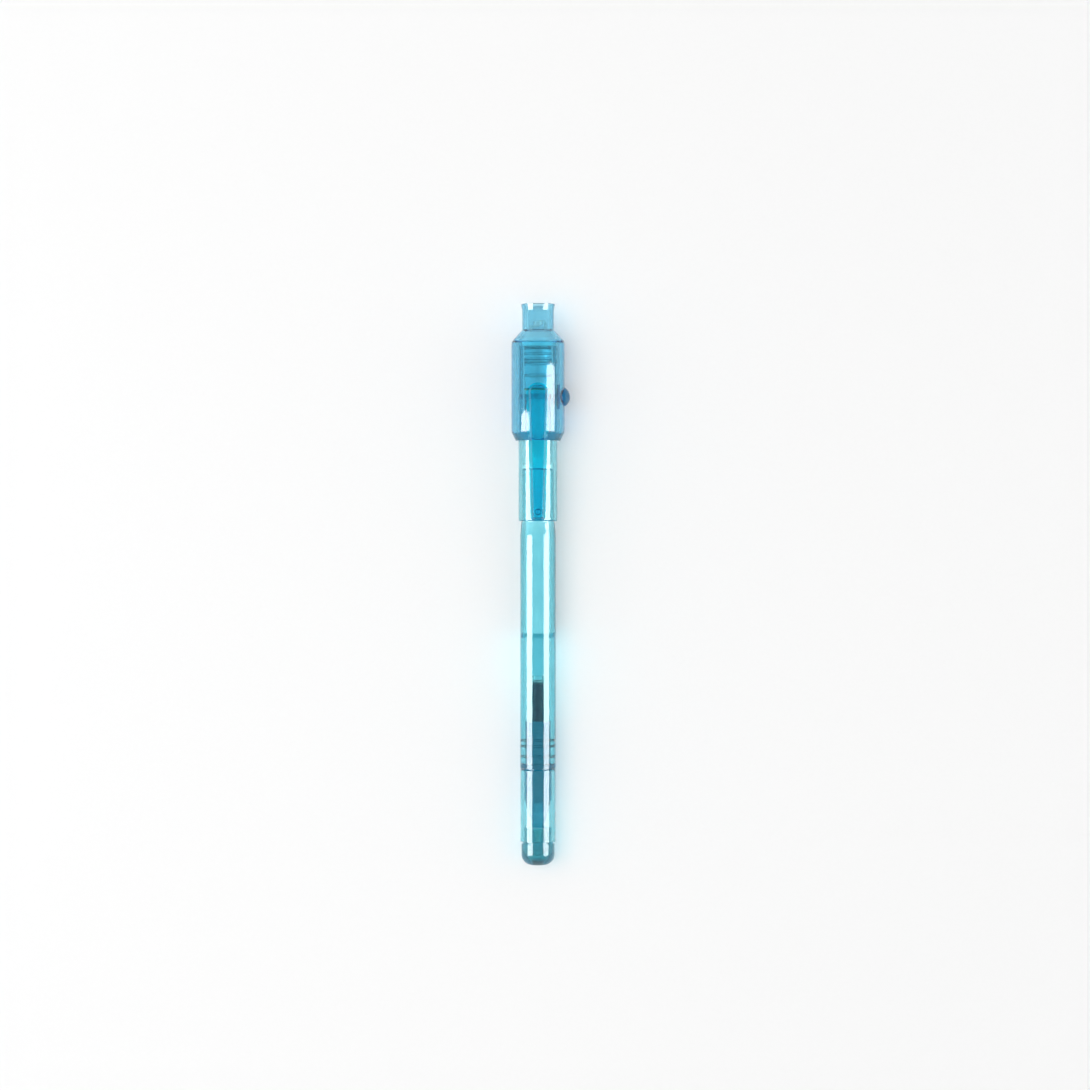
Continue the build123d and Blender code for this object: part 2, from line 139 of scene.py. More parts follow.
# The bundle: strands side by side round a solid core, each with its own slight wave.
bundle = bpy.data.node_groups.new("Fibre bundle", "GeometryNodeTree")
bundle.interface.new_socket("Geometry", in_out="OUTPUT", socket_type="NodeSocketGeometry")
for label, kind in (
    ("Strands", "NodeSocketInt"), ("Bundle radius", "NodeSocketFloat"),
    ("Strand radius", "NodeSocketFloat"), ("Low end", "NodeSocketFloat"),
    ("Length", "NodeSocketFloat"), ("Wave", "NodeSocketFloat"),
    ("Seed", "NodeSocketInt"), ("Fibre", "NodeSocketMaterial"),
):
    bundle.interface.new_socket(label, in_out="INPUT", socket_type=kind)
given = add(bundle, "NodeGroupInput").outputs
far_end = add(bundle, "ShaderNodeCombineXYZ", None, {"Y": given["Length"]})
line = add(bundle, "GeometryNodeCurvePrimitiveLine", None, {"End": far_end.outputs[0]})
steps = add(bundle, "GeometryNodeResampleCurve", None, {"Curve": line.outputs[0], "Count": 14})
where = add(bundle, "GeometryNodeInputPosition")
drift = add(bundle, "ShaderNodeTexNoise", None, {
    "Vector": where.outputs[0], "Scale": 1 / 0.006, "Detail": 1.0})
centred = add(bundle, "ShaderNodeVectorMath", {"operation": "SUBTRACT"}, {
    0: drift.outputs["Color"], 1: (0.5, 0.5, 0.5)})
sideways = add(bundle, "ShaderNodeVectorMath", {"operation": "MULTIPLY"}, {
    0: centred.outputs[0], 1: (1.0, 0.0, 1.0)})
sway = add(bundle, "ShaderNodeVectorMath", {"operation": "SCALE"}, {
    0: sideways.outputs[0], "Scale": given["Wave"]})
waved = add(bundle, "GeometryNodeSetPosition", None, {
    "Geometry": steps.outputs[0], "Offset": sway.outputs[0]})
section = add(bundle, "GeometryNodeCurvePrimitiveCircle", None, {
    "Resolution": 5, "Radius": given["Strand radius"]})
strand = add(bundle, "GeometryNodeCurveToMesh", None, {
    "Curve": waved.outputs[0], "Profile Curve": section.outputs[0], "Fill Caps": True})
number = add(bundle, "GeometryNodeInputIndex")
share = add(bundle, "ShaderNodeMath", {"operation": "DIVIDE"}, {
    0: number.outputs[0], 1: given["Strands"]})
turn = add(bundle, "ShaderNodeMath", {"operation": "MULTIPLY"}, {
    0: share.outputs[0], 1: 2 * math.pi})
ring = add(bundle, "ShaderNodeMath", {"operation": "SUBTRACT"}, {
    0: given["Bundle radius"], 1: given["Strand radius"]})
cosine = add(bundle, "ShaderNodeMath", {"operation": "COSINE"}, {0: turn.outputs[0]})
sine = add(bundle, "ShaderNodeMath", {"operation": "SINE"}, {0: turn.outputs[0]})
across = add(bundle, "ShaderNodeMath", {"operation": "MULTIPLY"}, {
    0: cosine.outputs[0], 1: ring.outputs[0]})
upright = add(bundle, "ShaderNodeMath", {"operation": "MULTIPLY"}, {
    0: sine.outputs[0], 1: ring.outputs[0]})
foot = add(bundle, "ShaderNodeCombineXYZ", None, {
    "X": across.outputs[0], "Y": given["Low end"], "Z": upright.outputs[0]})
feet = add(bundle, "GeometryNodePoints", None, {
    "Count": given["Strands"], "Position": foot.outputs[0]})
spin = add(bundle, "FunctionNodeRandomValue", {"data_type": "FLOAT_VECTOR"}, {
    0: (0.0, 0.0, 0.0), 1: (0.0, 2 * math.pi, 0.0), "Seed": given["Seed"]})
laid = add(bundle, "GeometryNodeInstanceOnPoints", None, {
    "Points": feet.outputs[0], "Instance": strand.outputs[0], "Rotation": spin.outputs[0]})
half = add(bundle, "ShaderNodeMath", {"operation": "MULTIPLY"}, {0: given["Length"], 1: 0.5})
middle = add(bundle, "ShaderNodeMath", {"operation": "ADD"}, {
    0: given["Low end"], 1: half.outputs[0]})
centre = add(bundle, "ShaderNodeCombineXYZ", None, {"Y": middle.outputs[0]})
core = add(bundle, "GeometryNodeMeshCylinder", None, {
    "Vertices": 64, "Radius": ring.outputs[0], "Depth": given["Length"]})
core_laid = add(bundle, "GeometryNodeTransform", None, {
    "Geometry": core.outputs[0], "Translation": centre.outputs[0],
    "Rotation": (math.pi / 2, 0.0, 0.0)})
both = add(bundle, "GeometryNodeJoinGeometry")
bundle.links.new(laid.outputs[0], both.inputs[0])
bundle.links.new(core_laid.outputs[0], both.inputs[0])
whole = add(bundle, "GeometryNodeRealizeInstances", None, {"Geometry": both.outputs[0]})
painted = add(bundle, "GeometryNodeSetMaterial", None, {
    "Geometry": whole.outputs[0], "Material": given["Fibre"]})
add(bundle, "NodeGroupOutput", None, {0: painted.outputs[0]})

low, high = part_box("ink_reservoir")
reservoir = grown("reservoir_fibres", bundle, {
    "Strands": 128, "Bundle radius": high.x - 0.00003, "Strand radius": 0.00008, "Low end": low.y,
    "Length": high.y - low.y, "Wave": 0.00006, "Seed": 4, "Fibre": bonded_fibre})
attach(reservoir, "pen")
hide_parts("ink_reservoir")

# ---- Reservoir wrap --------------------------------------------------------------------------
# A thin clear film wound round the fibre rod and sealed along it, so that the rod can be handled
# wet. It only shows as a faint gloss with fine wrinkles across it.

wrap_film, tree = empty_material("Clear polypropylene film")
place = add(tree, "ShaderNodeTexCoord")
# Wrinkles about 1.5 mm apart along the rod and longer round it.
across = add(tree, "ShaderNodeMapping", None, {
    "Vector": place.outputs["Object"], "Scale": (1 / 0.004, 1 / 0.0015, 1 / 0.004)})
wrinkles = add(tree, "ShaderNodeTexNoise", None, {
    "Vector": across.outputs[0], "Scale": 1.0, "Detail": 2.0})
creases = add(tree, "ShaderNodeBump", None, {
    "Height": wrinkles.outputs["Fac"], "Strength": 0.6, "Distance": 0.00003})
surface = add(tree, "ShaderNodeBsdfPrincipled", None, {
    "Base Color": linear("#eef4f4"), "Roughness": 0.12, "IOR": 1.49, "Alpha": 0.04,
    "Normal": creases.outputs[0]})
add(tree, "ShaderNodeOutputMaterial", None, {"Surface": surface.outputs[0]})
dress(nodes["reservoir_film"], wrap_film)

# ---- Fibre tip and its holder ----------------------------------------------------------------
# The tip is a stick of bonded acrylic fibre, ground to a round point, pressed through a white
# moulded holder. The holder is pressed into the barrel's neck and carries the tip's nose.

tip_fibre, tree = empty_material("Ground acrylic fibre")
place = add(tree, "ShaderNodeTexCoord")
# Fibres drawn 0.08 mm wide so that they show; a felted speckle of 0.2 mm where the point is ground.
along = add(tree, "ShaderNodeMapping", None, {
    "Vector": place.outputs["Object"], "Scale": (1 / 0.00008, 1 / 0.004, 1 / 0.00008)})
streaks = add(tree, "ShaderNodeTexNoise", None, {
    "Vector": along.outputs[0], "Scale": 1.0, "Detail": 3.0})
speckle = add(tree, "ShaderNodeTexNoise", None, {
    "Vector": place.outputs["Object"], "Scale": 1 / 0.0002, "Detail": 2.0})
mixed = add(tree, "ShaderNodeMath", {"operation": "MULTIPLY"}, {
    0: streaks.outputs["Fac"], 1: speckle.outputs["Fac"]})
spread = add(tree, "ShaderNodeMapRange", None, {
    "Value": mixed.outputs[0], "From Min": 0.1, "From Max": 0.4})
tone = add(tree, "ShaderNodeMix", {"data_type": "RGBA"}, {
    0: spread.outputs[0], 6: linear("#d9dcd6"), 7: linear("#f7f6ef")})
ridges = add(tree, "ShaderNodeBump", None, {
    "Height": streaks.outputs["Fac"], "Strength": 0.8, "Distance": 0.00003})
surface = add(tree, "ShaderNodeBsdfPrincipled", None, {
    "Base Color": tone.outputs[2], "Roughness": 0.8, "IOR": 1.49, "Normal": ridges.outputs[0]})
add(tree, "ShaderNodeOutputMaterial", None, {"Surface": surface.outputs[0]})
dress(nodes["fibre_nib"], tip_fibre)

# White polypropylene: smooth from the mould, softly glossy, with a slow ripple and faint drag marks.
white_moulding, tree = empty_material("White moulded polypropylene")
place = add(tree, "ShaderNodeTexCoord")
ripple = add(tree, "ShaderNodeTexNoise", None, {
    "Vector": place.outputs["Object"], "Scale": 1 / 0.0012, "Detail": 2.0})
drag = add(tree, "ShaderNodeMapping", None, {
    "Vector": place.outputs["Object"], "Scale": (1 / 0.0002, 1 / 0.006, 1 / 0.0002)})
marks = add(tree, "ShaderNodeTexNoise", None, {
    "Vector": drag.outputs[0], "Scale": 1.0, "Detail": 2.0})
gloss = add(tree, "ShaderNodeMapRange", None, {
    "Value": marks.outputs["Fac"], "From Min": 0.3, "From Max": 0.7, "To Min": 0.32, "To Max": 0.5})
tone = add(tree, "ShaderNodeMix", {"data_type": "RGBA"}, {
    0: ripple.outputs["Fac"], 6: linear("#e2e7e6"), 7: linear("#f3f5f3")})
skin = add(tree, "ShaderNodeBump", None, {
    "Height": ripple.outputs["Fac"], "Strength": 0.5, "Distance": 0.00002})
surface = add(tree, "ShaderNodeBsdfPrincipled", None, {
    "Base Color": tone.outputs[2], "Roughness": gloss.outputs[0], "IOR": 1.49,
    "Normal": skin.outputs[0]})
add(tree, "ShaderNodeOutputMaterial", None, {"Surface": surface.outputs[0]})
dress(nodes["nib_holder"], white_moulding)

# ---- Barrel ----------------------------------------------------------------------------------
# One injection-moulded tube of clear polystyrene, tinted aqua in the mass, with a stepped neck for
# the light cap. The reservoir goes in at the neck's end and the ballpoint end snaps into the other.


def lit_through(tree, surface, tint="#ffffff"):
    """The surface, which lets a lamp's rays go straight through to the pieces inside."""
    ray = add(tree, "ShaderNodeLightPath")
    through = add(tree, "ShaderNodeBsdfTransparent", None, {"Color": linear(tint)})
    either = add(tree, "ShaderNodeMixShader", None, {
        0: ray.outputs["Is Shadow Ray"], 1: surface.outputs[0], 2: through.outputs[0]})
    return either.outputs[0]


def clear_polystyrene(
        name, tint="#8be8ef", per_metre=860.0, skin_tone="#ffffff", clearness=1.0, painted_rim_from=0.7):
    """Polished clear moulding: the tint deepens with the thickness of wall that is looked through, and
    the rims carry a painted deep-aqua tone.
    """
    material, tree = empty_material(name)
    place = add(tree, "ShaderNodeTexCoord")
    # Slow ripple of the cooled wall, about 4 mm from crest to crest and 0.003 mm high.
    ripple = add(tree, "ShaderNodeTexNoise", None, {
        "Vector": place.outputs["Object"], "Scale": 1 / 0.004, "Detail": 1.0})
    skin = add(tree, "ShaderNodeBump", None, {
        "Height": ripple.outputs["Fac"], "Strength": 1.0, "Distance": 0.000003})
    # Faint rubbing along the pen, in streaks 0.3 mm wide.
    along = add(tree, "ShaderNodeMapping", None, {
        "Vector": place.outputs["Object"], "Scale": (1 / 0.0003, 1 / 0.007, 1 / 0.0003)})
    rub = add(tree, "ShaderNodeTexNoise", None, {
        "Vector": along.outputs[0], "Scale": 1.0, "Detail": 2.0})
    gloss = add(tree, "ShaderNodeMapRange", None, {
        "Value": rub.outputs["Fac"], "From Min": 0.35, "From Max": 0.75,
        "To Min": 0.015, "To Max": 0.035})
    # Rims, steps and bevels across the pen are duller than the walls and get a painted deep-aqua tone.
    # It stands in for the light that the walls carry out through their ends. A face counts as one
    # where more than this share of its normal runs along the pen.
    facing = add(tree, "ShaderNodeSeparateXYZ", None, {"Vector": place.outputs["Normal"]})
    across = add(tree, "ShaderNodeMath", {"operation": "ABSOLUTE"}, {0: facing.outputs["Y"]})
    painted_rim = add(tree, "ShaderNodeMath", {"operation": "GREATER_THAN", "name": "Painted rim"}, {
        0: across.outputs[0], 1: painted_rim_from})
    tone = add(tree, "ShaderNodeMix", {"data_type": "RGBA"}, {
        0: painted_rim.outputs[0], 6: linear(skin_tone), 7: linear("#1593b5")})
    clear = add(tree, "ShaderNodeMapRange", None, {
        "Value": painted_rim.outputs[0], "To Min": clearness, "To Max": 0.5})
    surface = add(tree, "ShaderNodeBsdfPrincipled", None, {
        "Base Color": tone.outputs[2], "Roughness": gloss.outputs[0], "IOR": 1.59,
        "Transmission Weight": clear.outputs[0], "Normal": skin.outputs[0]})
    depth = add(tree, "ShaderNodeVolumeAbsorption", None, {
        "Color": linear(tint), "Density": per_metre})
    add(tree, "ShaderNodeOutputMaterial", None, {
        "Surface": lit_through(tree, surface), "Volume": depth.outputs[0]})
    return material


aqua = clear_polystyrene("Clear aqua polystyrene")
dress(nodes["barrel"], aqua)

# ---- Ballpoint end ---------------------------------------------------------------------------
# A slightly cloudy aqua moulding with a spigot that snaps into the barrel, a collar that meets the
# barrel's end, a neck that the small cap grips and a cone that guides the metal point.

# A little pigment scatters a fifth of the light at each skin, so the ink looks blue through it.
cloudy_aqua = clear_polystyrene("Cloudy aqua polystyrene", skin_tone="#5cc4dc", clearness=0.8)
dress(nodes["point_section"], cloudy_aqua)

# ---- Refill ----------------------------------------------------------------------------------
# An extruded tube of natural polypropylene, filled with dark ink paste under a plug of clear
# grease. The ink wets the tube, so its column is made a hair wider than the tube's bore.

natural_tube, tree = empty_material("Natural polypropylene tube")
place = add(tree, "ShaderNodeTexCoord")
# Die lines along the tube, 0.1 mm apart.
along = add(tree, "ShaderNodeMapping", None, {
    "Vector": place.outputs["Object"], "Scale": (1 / 0.0001, 1 / 0.02, 1 / 0.0001)})
lines = add(tree, "ShaderNodeTexNoise", None, {
    "Vector": along.outputs[0], "Scale": 1.0, "Detail": 1.0})
gloss = add(tree, "ShaderNodeMapRange", None, {
    "Value": lines.outputs["Fac"], "To Min": 0.05, "To Max": 0.1})
drawn = add(tree, "ShaderNodeBump", None, {
    "Height": lines.outputs["Fac"], "Strength": 0.5, "Distance": 0.0000006})
surface = add(tree, "ShaderNodeBsdfPrincipled", None, {
    "Base Color": linear("#f4f8f8"), "Roughness": gloss.outputs[0], "IOR": 1.49,
    "Transmission Weight": 1.0, "Normal": drawn.outputs[0]})
add(tree, "ShaderNodeOutputMaterial", None, {"Surface": lit_through(tree, surface, "#f2f5f5")})
dress(nodes["refill_tube"], natural_tube)


def turned(name, outline, material, body):
    """A closed solid turned about the pen's axis, from (radius, station) points, axis to axis."""
    sides, shape, rings = 96, bmesh.new(), []
    for radius, station in outline:
        count = sides if radius > 0 else 1
        turns = [2 * math.pi * i / count for i in range(count)]
        rings.append([
            shape.verts.new((radius * math.cos(a), station, radius * math.sin(a))) for a in turns])
    for first, second in zip(rings, rings[1:]):
        for i in range(sides):
            corners = [first[i % len(first)], first[(i + 1) % len(first)],
                       second[(i + 1) % len(second)], second[i % len(second)]]
            corners = list(dict.fromkeys(corners))
            if len(corners) > 2:
                shape.faces.new(corners)
    bmesh.ops.recalc_face_normals(shape, faces=shape.faces)
    mesh = bpy.data.meshes.new(name)
    shape.to_mesh(mesh)
    shape.free()
    mesh.shade_smooth()
    mesh.set_sharp_from_angle(angle=math.radians(32))
    piece = bpy.data.objects.new(name, mesh)
    bpy.context.scene.collection.objects.link(piece)
    dress(piece, material)
    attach(piece, body)
    return piece


# Ballpoint ink: a near-black blue paste, wet, with slightly thinner places that let some blue through.
ink_paste, tree = empty_material("Dark blue ink paste")
place = add(tree, "ShaderNodeTexCoord")
swirl = add(tree, "ShaderNodeTexNoise", None, {
    "Vector": place.outputs["Object"], "Scale": 1 / 0.0015, "Detail": 3.0, "Distortion": 0.6})
tone = add(tree, "ShaderNodeMix", {"data_type": "RGBA"}, {
    0: swirl.outputs["Fac"], 6: linear("#0b1024"), 7: linear("#1c2a4a")})
gloss = add(tree, "ShaderNodeMapRange", None, {
    "Value": swirl.outputs["Fac"], "To Min": 0.12, "To Max": 0.3})
surface = add(tree, "ShaderNodeBsdfPrincipled", None, {
    "Base Color": tone.outputs[2], "Roughness": gloss.outputs[0], "IOR": 1.45})
add(tree, "ShaderNodeOutputMaterial", None, {"Surface": surface.outputs[0]})
# The ink's top is dished where it climbs the tube's wall.
wetting, dish = 0.00003, 0.0003
low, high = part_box("refill_ink")
ink = turned("ink_column", [
    (0, low.y), (high.x + wetting, low.y), (high.x + wetting, high.y),
    (high.x * 0.7, high.y - dish * 0.55), (high.x * 0.35, high.y - dish * 0.9), (0, high.y - dish),
], ink_paste, "pen")
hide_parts("refill_ink")

# Follower grease: clear, a little hazy, with ink smeared into its lowest 0.9 mm.
grease, tree = empty_material("Clear follower grease")
place = add(tree, "ShaderNodeTexCoord")
apart = add(tree, "ShaderNodeSeparateXYZ", None, {"Vector": place.outputs["Object"]})
smear = add(tree, "ShaderNodeTexNoise", None, {
    "Vector": place.outputs["Object"], "Scale": 1 / 0.0006, "Detail": 2.0})
low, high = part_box("ink_follower")
climb = add(tree, "ShaderNodeMapRange", None, {
    "Value": apart.outputs["Y"], "From Min": low.y, "From Max": low.y + 0.0009})
edge = add(tree, "ShaderNodeMath", {"operation": "MULTIPLY"}, {
    0: climb.outputs[0], 1: smear.outputs["Fac"]})
stain = add(tree, "ShaderNodeMapRange", None, {
    "Value": edge.outputs[0], "From Min": 0.1, "From Max": 0.4})
tone = add(tree, "ShaderNodeMix", {"data_type": "RGBA"}, {
    0: stain.outputs[0], 6: linear("#22304c"), 7: linear("#e6ebe4")})
surface = add(tree, "ShaderNodeBsdfPrincipled", None, {
    "Base Color": tone.outputs[2], "Roughness": 0.25, "IOR": 1.46, "Transmission Weight": 0.85})
add(tree, "ShaderNodeOutputMaterial", None, {"Surface": surface.outputs[0]})
plug = turned("grease_plug", [
    (0, low.y - dish), (high.x * 0.35, low.y - dish * 0.9), (high.x * 0.7, low.y - dish * 0.55),
    (high.x + wetting, low.y), (high.x + wetting, high.y), (high.x * 0.6, high.y - dish * 0.6),
    (0, high.y - dish),
], grease, "pen")
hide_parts("ink_follower")

# ---- Ball point ------------------------------------------------------------------------------
# A turned point of nickel silver, pressed into the tube, with a ball of hard carbide spun into its
# rim. Ink reaches the ball through the point's bore and leaves a dark film on it.

nickel_silver, tree = empty_material("Turned nickel silver")
place = add(tree, "ShaderNodeTexCoord")
# Tool marks round the point, 0.06 mm apart, drawn a little coarse so that they show.
round_it = add(tree, "ShaderNodeMapping", None, {
    "Vector": place.outputs["Object"], "Scale": (1 / 0.004, 1 / 0.00006, 1 / 0.004)})
cuts = add(tree, "ShaderNodeTexNoise", None, {
    "Vector": round_it.outputs[0], "Scale": 1.0, "Detail": 2.0})
gloss = add(tree, "ShaderNodeMapRange", None, {
    "Value": cuts.outputs["Fac"], "From Min": 0.3, "From Max": 0.7, "To Min": 0.28, "To Max": 0.5})
tone = add(tree, "ShaderNodeMix", {"data_type": "RGBA"}, {
    0: cuts.outputs["Fac"], 6: linear("#bdb9ae"), 7: linear("#dedad0")})
grooves = add(tree, "ShaderNodeBump", None, {
    "Height": cuts.outputs["Fac"], "Strength": 0.6, "Distance": 0.000006})
surface = add(tree, "ShaderNodeBsdfPrincipled", None, {
    "Base Color": tone.outputs[2], "Metallic": 1.0, "Roughness": gloss.outputs[0],
    "Normal": grooves.outputs[0]})
add(tree, "ShaderNodeOutputMaterial", None, {"Surface": surface.outputs[0]})
dress(nodes["refill_point"], nickel_silver)

carbide, tree = empty_material("Ground carbide ball")
place = add(tree, "ShaderNodeTexCoord")
film = add(tree, "ShaderNodeTexNoise", None, {
    "Vector": place.outputs["Object"], "Scale": 1 / 0.00035, "Detail": 3.0})
cover = add(tree, "ShaderNodeMapRange", None, {
    "Value": film.outputs["Fac"], "From Min": 0.42, "From Max": 0.6})
tone = add(tree, "ShaderNodeMix", {"data_type": "RGBA"}, {
    0: cover.outputs[0], 6: linear("#c6c6c8"), 7: linear("#3d4a70")})
gloss = add(tree, "ShaderNodeMapRange", None, {
    "Value": cover.outputs[0], "To Min": 0.1, "To Max": 0.22})
surface = add(tree, "ShaderNodeBsdfPrincipled", None, {
    "Base Color": tone.outputs[2], "Metallic": 1.0, "Roughness": gloss.outputs[0]})
add(tree, "ShaderNodeOutputMaterial", None, {"Surface": surface.outputs[0]})
dress(nodes["writing_ball"], carbide)

# Square-edged rings about the pen's axis, evenly spaced along it.
stack = bpy.data.node_groups.new("Ring stack", "GeometryNodeTree")
stack.interface.new_socket("Geometry", in_out="OUTPUT", socket_type="NodeSocketGeometry")
for label, kind in (
    ("Rings", "NodeSocketInt"), ("First ring", "NodeSocketFloat"), ("Pitch", "NodeSocketFloat"),
    ("Ring radius", "NodeSocketFloat"), ("Ring width", "NodeSocketFloat"),
    ("Ring height", "NodeSocketFloat"), ("Material", "NodeSocketMaterial"),
):
    stack.interface.new_socket(label, in_out="INPUT", socket_type=kind)
given = add(stack, "NodeGroupInput").outputs
ring = add(stack, "GeometryNodeCurvePrimitiveCircle", None, {
    "Resolution": 96, "Radius": given["Ring radius"]})
section = add(stack, "GeometryNodeCurvePrimitiveQuadrilateral", None, {
    "Width": given["Ring width"], "Height": given["Ring height"]})
hoop = add(stack, "GeometryNodeCurveToMesh", None, {
    "Curve": ring.outputs[0], "Profile Curve": section.outputs[0]})
standing = add(stack, "GeometryNodeTransform", None, {
    "Geometry": hoop.outputs[0], "Rotation": (math.pi / 2, 0.0, 0.0)})
first = add(stack, "ShaderNodeCombineXYZ", None, {"Y": given["First ring"]})
pitch = add(stack, "ShaderNodeCombineXYZ", None, {"Y": given["Pitch"]})
seats = add(stack, "GeometryNodeMeshLine", None, {
    "Count": given["Rings"], "Start Location": first.outputs[0], "Offset": pitch.outputs[0]})
placed = add(stack, "GeometryNodeInstanceOnPoints", None, {
    "Points": seats.outputs[0], "Instance": standing.outputs[0]})
whole = add(stack, "GeometryNodeRealizeInstances", None, {"Geometry": placed.outputs[0]})
painted = add(stack, "GeometryNodeSetMaterial", None, {
    "Geometry": whole.outputs[0], "Material": given["Material"]})
add(stack, "NodeGroupOutput", None, {0: painted.outputs[0]})

# A thin white washer on the point, against the end of the cone. Its white is a painted glint, where
# the cone's end catches the light.
cone_end, glint_washer_height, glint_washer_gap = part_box("point_section")[0].y, 0.0005, 0.00003
glint_washer = grown("point_glint_washer", stack, {
    "Rings": 1, "First ring": cone_end - glint_washer_height / 2 - glint_washer_gap, "Pitch": glint_washer_height,
    "Ring radius": 0.00128, "Ring width": 0.0002, "Ring height": glint_washer_height,
    "Material": white_moulding})
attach(glint_washer, "pen")

# ---- Small cap -------------------------------------------------------------------------------
# A clear aqua tube that grips the ballpoint's neck, closed by a separate rounded plug pressed into
# its end. The joint between the two shows as a sharp groove.

dress(nodes["bottom_cap"], aqua)
# The plug is moulded in a hazier aqua, so that its solid head looks teal, and its round end gets no
# painted rim tone.
hazy_aqua = clear_polystyrene(
    "Hazy aqua polystyrene", skin_tone="#84d2d8", clearness=0.86, painted_rim_from=0.9995)
dress(nodes["bottom_cap_plug"], hazy_aqua)

# ---- Cap sleeve and seal cup -----------------------------------------------------------------
# The sleeve is a clear moulded tube that slides over the barrel's neck and holds the cells. The
# cup inside it is soft milky polyethylene and closes on the fibre tip's nose, so that it can't dry.

dress(nodes["cap_sleeve"], aqua)

milky, tree = empty_material("Natural soft polyethylene")
place = add(tree, "ShaderNodeTexCoord")
cloud = add(tree, "ShaderNodeTexNoise", None, {
    "Vector": place.outputs["Object"], "Scale": 1 / 0.0025, "Detail": 3.0})
tone = add(tree, "ShaderNodeMix", {"data_type": "RGBA"}, {
    0: cloud.outputs["Fac"], 6: linear("#d5dddc"), 7: linear("#eef2f0")})
gloss = add(tree, "ShaderNodeMapRange", None, {
    "Value": cloud.outputs["Fac"], "To Min": 0.38, "To Max": 0.55})
skin = add(tree, "ShaderNodeBump", None, {
    "Height": cloud.outputs["Fac"], "Strength": 0.6, "Distance": 0.00003})
surface = add(tree, "ShaderNodeBsdfPrincipled", None, {
    "Base Color": tone.outputs[2], "Roughness": gloss.outputs[0], "IOR": 1.51,
    "Transmission Weight": 0.25, "Normal": skin.outputs[0]})
add(tree, "ShaderNodeOutputMaterial", None, {"Surface": surface.outputs[0]})
dress(nodes["nib_seal_cup"], milky)

# ---- Cells and contact -----------------------------------------------------------------------
# Three alkaline button cells, drawn steel cans plated with nickel, stacked in the sleeve. A disc of
# spring brass under them has a bent tab that the switch leaf touches.

plated, tree = empty_material("Nickel plated steel")
place = add(tree, "ShaderNodeTexCoord")
# Fine scuffs from tumbling, 0.15 mm wide, and a slow change in brightness over some 3 mm.
scuffs = add(tree, "ShaderNodeTexNoise", None, {
    "Vector": place.outputs["Object"], "Scale": 1 / 0.00015, "Detail": 3.0, "Distortion": 1.2})
patches = add(tree, "ShaderNodeTexNoise", None, {
    "Vector": place.outputs["Object"], "Scale": 1 / 0.003, "Detail": 2.0})
gloss = add(tree, "ShaderNodeMapRange", None, {
    "Value": scuffs.outputs["Fac"], "From Min": 0.3, "From Max": 0.7, "To Min": 0.28, "To Max": 0.46})
tone = add(tree, "ShaderNodeMix", {"data_type": "RGBA"}, {
    0: patches.outputs["Fac"], 6: linear("#d3d8de"), 7: linear("#eceff2")})
dents = add(tree, "ShaderNodeBump", None, {
    "Height": scuffs.outputs["Fac"], "Strength": 0.4, "Distance": 0.000004})
surface = add(tree, "ShaderNodeBsdfPrincipled", None, {
    "Base Color": tone.outputs[2], "Metallic": 1.0, "Roughness": gloss.outputs[0],
    "Normal": dents.outputs[0]})
add(tree, "ShaderNodeOutputMaterial", None, {"Surface": surface.outputs[0]})
for cell in ("button_cell_1", "button_cell_2", "button_cell_3"):
    dress(nodes[cell], plated)

# Nylon gasket: cream, dull, squeezed out a little round each cell's cap.
nylon, tree = empty_material("Crimped nylon gasket")
place = add(tree, "ShaderNodeTexCoord")
squeeze = add(tree, "ShaderNodeTexNoise", None, {
    "Vector": place.outputs["Object"], "Scale": 1 / 0.0004, "Detail": 2.0})
tone = add(tree, "ShaderNodeMix", {"data_type": "RGBA"}, {
    0: squeeze.outputs["Fac"], 6: linear("#c9c3ae"), 7: linear("#e9e4d3")})
lip = add(tree, "ShaderNodeBump", None, {
    "Height": squeeze.outputs["Fac"], "Strength": 0.6, "Distance": 0.00002})
surface = add(tree, "ShaderNodeBsdfPrincipled", None, {
    "Base Color": tone.outputs[2], "Roughness": 0.55, "IOR": 1.53, "Normal": lip.outputs[0]})
add(tree, "ShaderNodeOutputMaterial", None, {"Surface": surface.outputs[0]})

# The groove round the cap runs from 3.05 to 3.3 mm and is 0.3 mm deep, 0.4 mm below the cell's top.
low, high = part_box("button_cell_1")
groove_foot, squeezed_out = high.y - 0.0007, 0.00012
ring_height = 0.0003 + squeezed_out
gaskets = grown("cell_gaskets", stack, {
    "Rings": 3, "First ring": groove_foot + ring_height / 2, "Pitch": high.y - low.y,
    "Ring radius": 0.003175, "Ring width": 0.00024, "Ring height": ring_height, "Material": nylon})
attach(gaskets, "light_cap")

# Low clear rings in the sleeve's bore, which is 0.12 mm clear of the cells, grip the uppermost cell.
grip_rings = grown("sleeve_grip_rings", stack, {
    "Rings": 4, "First ring": 0.0721, "Pitch": 0.00135,
    "Ring radius": 0.00401, "Ring width": 0.00008, "Ring height": 0.00055, "Material": aqua})
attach(grip_rings, "light_cap")

brass, tree = empty_material("Rolled spring brass")
place = add(tree, "ShaderNodeTexCoord")
